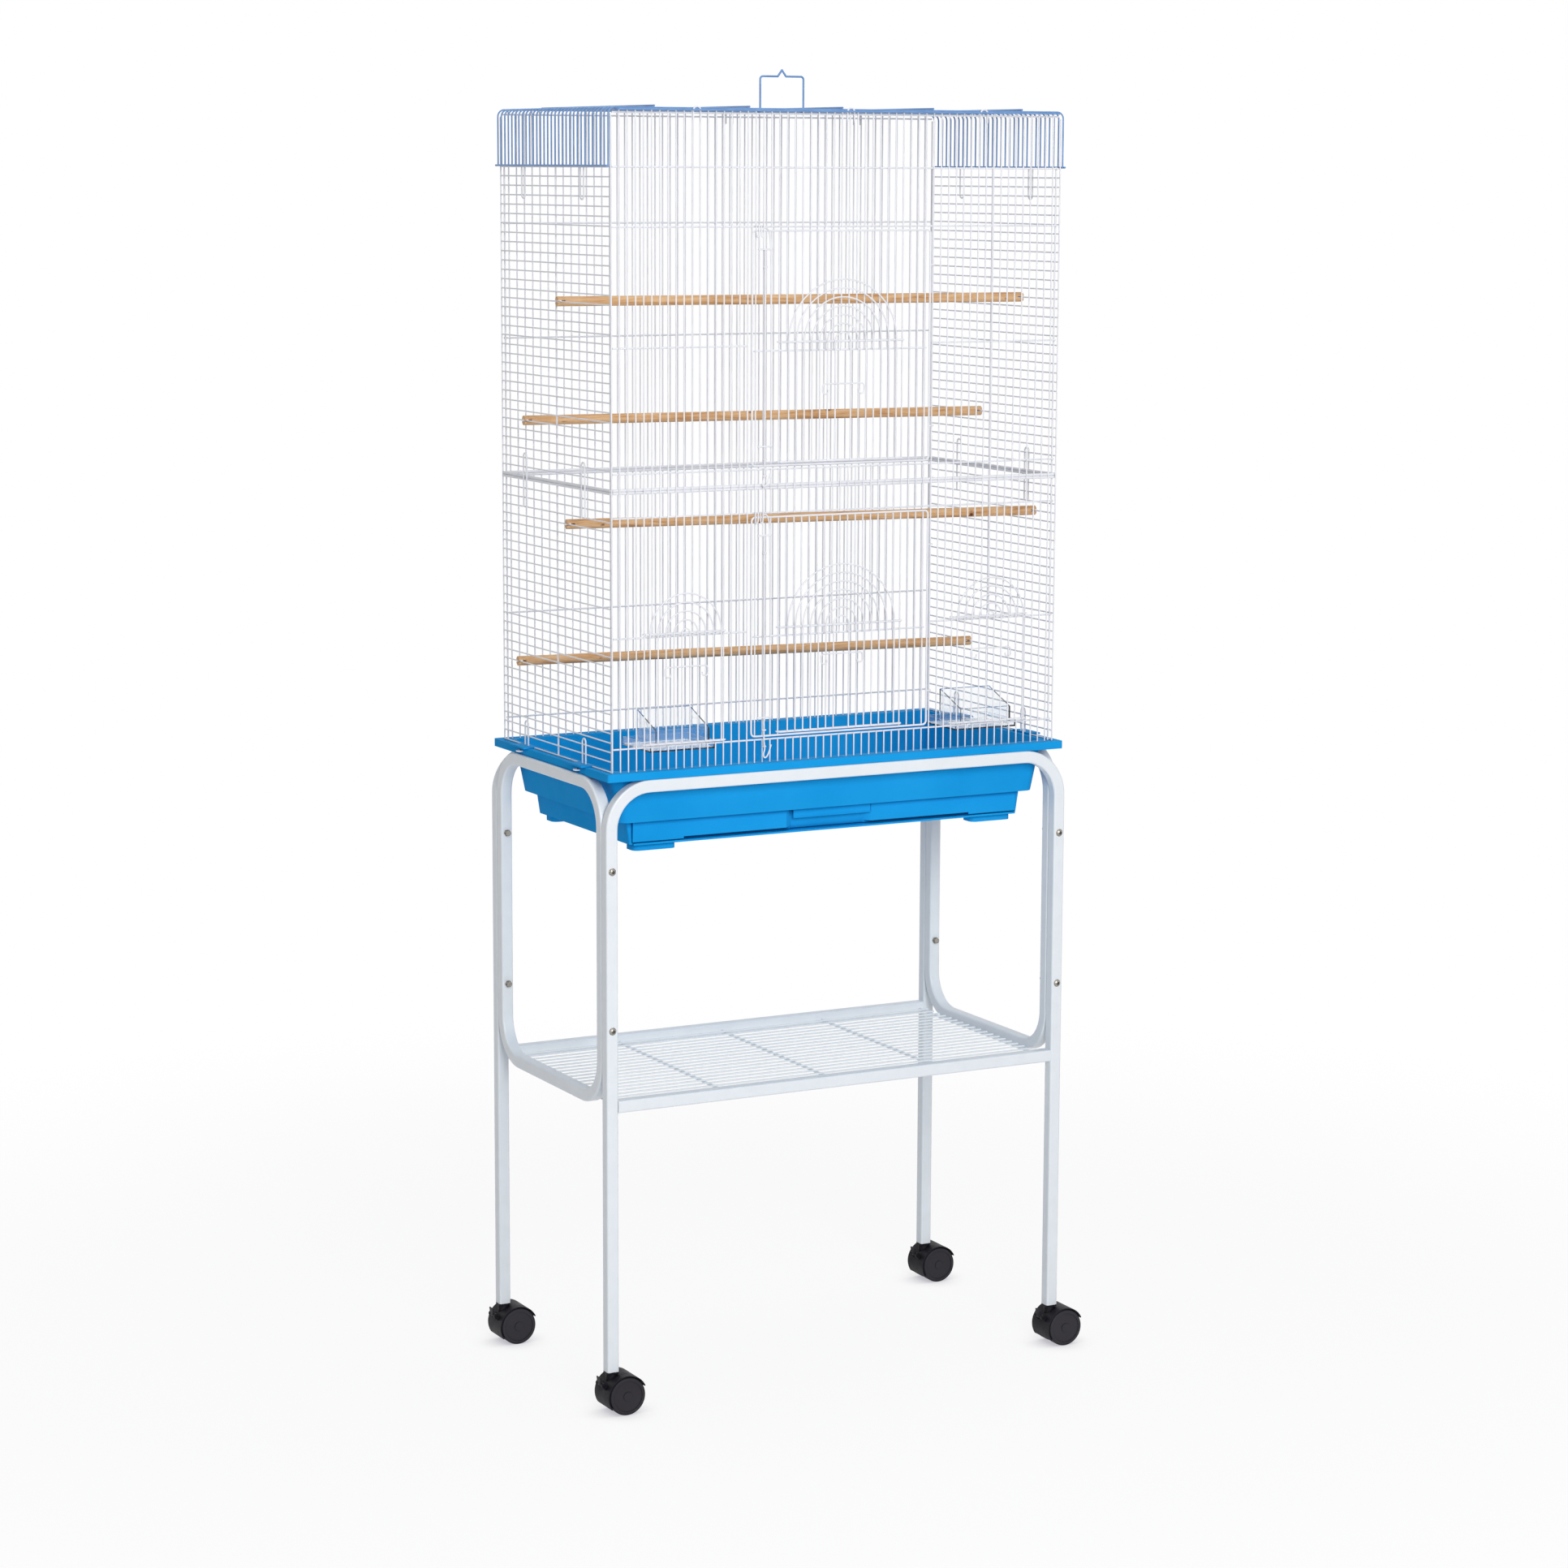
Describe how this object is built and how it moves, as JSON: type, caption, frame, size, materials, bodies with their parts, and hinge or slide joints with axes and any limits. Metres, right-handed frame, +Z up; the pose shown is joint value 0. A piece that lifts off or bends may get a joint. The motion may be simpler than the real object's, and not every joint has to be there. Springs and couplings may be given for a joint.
{
  "type": "flight bird cage",
  "caption": "Tall two-storey wire flight cage for small birds on a rolling tube stand, with hinged doors, lift doors, perches, feed cups and a pull-out tray.",
  "frame": {"origin": "on the floor under the middle of the stand", "axes": "+X to the right along the front, +Y from front to back, +Z up"},
  "size_m": [0.7234, 0.3856, 1.7024],
  "materials": {
    "white_wire": "gloss powder coat",
    "blue_wire": "gloss powder coat",
    "blue_plastic": "moulded, satin",
    "wood": "plain turned softwood",
    "clear_plastic": "clear moulded",
    "white_tube": "gloss powder coat",
    "zinc": "bright plated",
    "black_plastic": "moulded, matte"
  },
  "bodies": {
    "cage": {"upper_front_panel": "white_wire", "upper_back_panel": "white_wire", "upper_left_panel": "white_wire", "upper_right_panel": "white_wire", "lower_front_panel": "white_wire", "lower_back_panel": "white_wire", "lower_left_panel": "white_wire", "lower_right_panel": "white_wire", "roof": "blue_wire", "top_clips": "white_wire", "middle_clips": "white_wire", "base_clips": "white_wire", "perch_1": "wood", "perch_2": "wood", "perch_3": "wood", "perch_4": "wood", "left_cup": "clear_plastic", "right_cup": "clear_plastic", "base": "blue_plastic", "floor_grille": "white_wire", "front_frame": "white_tube", "rear_frame": "white_tube", "left_side_frame": "white_tube", "right_side_frame": "white_tube", "shelf": "white_tube", "stand_bolts": "zinc", "stand_nuts": "zinc", "caster_sockets": "black_plastic"},
    "front_left_caster": {"front_left_hood": "black_plastic", "front_left_axle": "zinc"},
    "front_left_near_wheel": {"front_left_near_wheel": "black_plastic"},
    "front_left_far_wheel": {"front_left_far_wheel": "black_plastic"},
    "front_left_brake": {"front_left_brake": "black_plastic"},
    "front_right_caster": {"front_right_hood": "black_plastic", "front_right_axle": "zinc"},
    "front_right_near_wheel": {"front_right_near_wheel": "black_plastic"},
    "front_right_far_wheel": {"front_right_far_wheel": "black_plastic"},
    "front_right_brake": {"front_right_brake": "black_plastic"},
    "rear_left_caster": {"rear_left_hood": "black_plastic", "rear_left_axle": "zinc"},
    "rear_left_near_wheel": {"rear_left_near_wheel": "black_plastic"},
    "rear_left_far_wheel": {"rear_left_far_wheel": "black_plastic"},
    "rear_left_brake": {"rear_left_brake": "black_plastic"},
    "rear_right_caster": {"rear_right_hood": "black_plastic", "rear_right_axle": "zinc"},
    "rear_right_near_wheel": {"rear_right_near_wheel": "black_plastic"},
    "rear_right_far_wheel": {"rear_right_far_wheel": "black_plastic"},
    "rear_right_brake": {"rear_right_brake": "black_plastic"},
    "upper_door": {"upper_main_door": "white_wire"},
    "upper_lift": {"upper_lift_door": "white_wire"},
    "upper_latch_rod": {"upper_latch": "white_wire"},
    "lower_door": {"lower_main_door": "white_wire"},
    "lower_lift": {"lower_lift_door": "white_wire"},
    "lower_latch_rod": {"lower_latch": "white_wire"},
    "left_feeder": {"left_feeder_door": "white_wire"},
    "right_feeder": {"right_feeder_door": "white_wire"},
    "tray": {"drawer": "blue_plastic"},
    "bail": {"carry_handle": "blue_wire"}
  },
  "joints": [
    {"name": "front_left_swivel", "type": "hinge", "parent": "cage", "child": "front_left_caster", "pos_m": [-0.3284, -0.1711, 0.06], "axis": [0, 0, 1], "continuous": true},
    {"name": "front_left_near_wheel_spin", "type": "hinge", "parent": "front_left_caster", "child": "front_left_near_wheel", "pos_m": [-0.3144, -0.1711, 0.025], "axis": [0, 1, 0], "continuous": true},
    {"name": "front_left_far_wheel_spin", "type": "hinge", "parent": "front_left_caster", "child": "front_left_far_wheel", "pos_m": [-0.3144, -0.1711, 0.025], "axis": [0, 1, 0], "continuous": true},
    {"name": "front_left_brake_press", "type": "hinge", "parent": "front_left_caster", "child": "front_left_brake", "pos_m": [-0.34239, -0.1711, 0.03988], "axis": [0, -1, 0], "range_deg": [0, 25]},
    {"name": "front_right_swivel", "type": "hinge", "parent": "cage", "child": "front_right_caster", "pos_m": [0.3284, -0.1711, 0.06], "axis": [0, 0, 1], "continuous": true},
    {"name": "front_right_near_wheel_spin", "type": "hinge", "parent": "front_right_caster", "child": "front_right_near_wheel", "pos_m": [0.3424, -0.1711, 0.025], "axis": [0, 1, 0], "continuous": true},
    {"name": "front_right_far_wheel_spin", "type": "hinge", "parent": "front_right_caster", "child": "front_right_far_wheel", "pos_m": [0.3424, -0.1711, 0.025], "axis": [0, 1, 0], "continuous": true},
    {"name": "front_right_brake_press", "type": "hinge", "parent": "front_right_caster", "child": "front_right_brake", "pos_m": [0.31441, -0.1711, 0.03988], "axis": [0, -1, 0], "range_deg": [0, 25]},
    {"name": "rear_left_swivel", "type": "hinge", "parent": "cage", "child": "rear_left_caster", "pos_m": [-0.3284, 0.1711, 0.06], "axis": [0, 0, 1], "continuous": true},
    {"name": "rear_left_near_wheel_spin", "type": "hinge", "parent": "rear_left_caster", "child": "rear_left_near_wheel", "pos_m": [-0.3144, 0.1711, 0.025], "axis": [0, 1, 0], "continuous": true},
    {"name": "rear_left_far_wheel_spin", "type": "hinge", "parent": "rear_left_caster", "child": "rear_left_far_wheel", "pos_m": [-0.3144, 0.1711, 0.025], "axis": [0, 1, 0], "continuous": true},
    {"name": "rear_left_brake_press", "type": "hinge", "parent": "rear_left_caster", "child": "rear_left_brake", "pos_m": [-0.34239, 0.1711, 0.03988], "axis": [0, -1, 0], "range_deg": [0, 25]},
    {"name": "rear_right_swivel", "type": "hinge", "parent": "cage", "child": "rear_right_caster", "pos_m": [0.3284, 0.1711, 0.06], "axis": [0, 0, 1], "continuous": true},
    {"name": "rear_right_near_wheel_spin", "type": "hinge", "parent": "rear_right_caster", "child": "rear_right_near_wheel", "pos_m": [0.3424, 0.1711, 0.025], "axis": [0, 1, 0], "continuous": true},
    {"name": "rear_right_far_wheel_spin", "type": "hinge", "parent": "rear_right_caster", "child": "rear_right_far_wheel", "pos_m": [0.3424, 0.1711, 0.025], "axis": [0, 1, 0], "continuous": true},
    {"name": "rear_right_brake_press", "type": "hinge", "parent": "rear_right_caster", "child": "rear_right_brake", "pos_m": [0.31441, 0.1711, 0.03988], "axis": [0, -1, 0], "range_deg": [0, 25]},
    {"name": "upper_door_hinge", "type": "hinge", "parent": "cage", "child": "upper_door", "pos_m": [0.1332, -0.1665, 1.3525], "axis": [0, 0, 1], "range_deg": [0, 110]},
    {"name": "upper_lift_slide", "type": "slide", "parent": "upper_door", "child": "upper_lift", "axis": [0, 0, 1], "range_m": [0, 0.11]},
    {"name": "upper_latch_slide", "type": "slide", "parent": "upper_door", "child": "upper_latch_rod", "axis": [0, 0, 1], "range_m": [-0.012, 0]},
    {"name": "lower_door_hinge", "type": "hinge", "parent": "cage", "child": "lower_door", "pos_m": [0.1332, -0.1665, 1.0015], "axis": [0, 0, 1], "range_deg": [0, 110]},
    {"name": "lower_lift_slide", "type": "slide", "parent": "lower_door", "child": "lower_lift", "axis": [0, 0, 1], "range_m": [0, 0.11]},
    {"name": "lower_latch_slide", "type": "slide", "parent": "lower_door", "child": "lower_latch_rod", "axis": [0, 0, 1], "range_m": [-0.012, 0]},
    {"name": "left_feeder_slide", "type": "slide", "parent": "cage", "child": "left_feeder", "axis": [0, 0, 1], "range_m": [0, 0.07]},
    {"name": "right_feeder_slide", "type": "slide", "parent": "cage", "child": "right_feeder", "axis": [0, 0, 1], "range_m": [0, 0.07]},
    {"name": "drawer_slide", "type": "slide", "parent": "cage", "child": "tray", "axis": [0, -1, 0], "range_m": [0, 0.25]},
    {"name": "handle_hinge", "type": "hinge", "parent": "cage", "child": "bail", "pos_m": [0, 0, 1.649], "axis": [1, 0, 0], "range_deg": [-72, 60]}
  ]
}
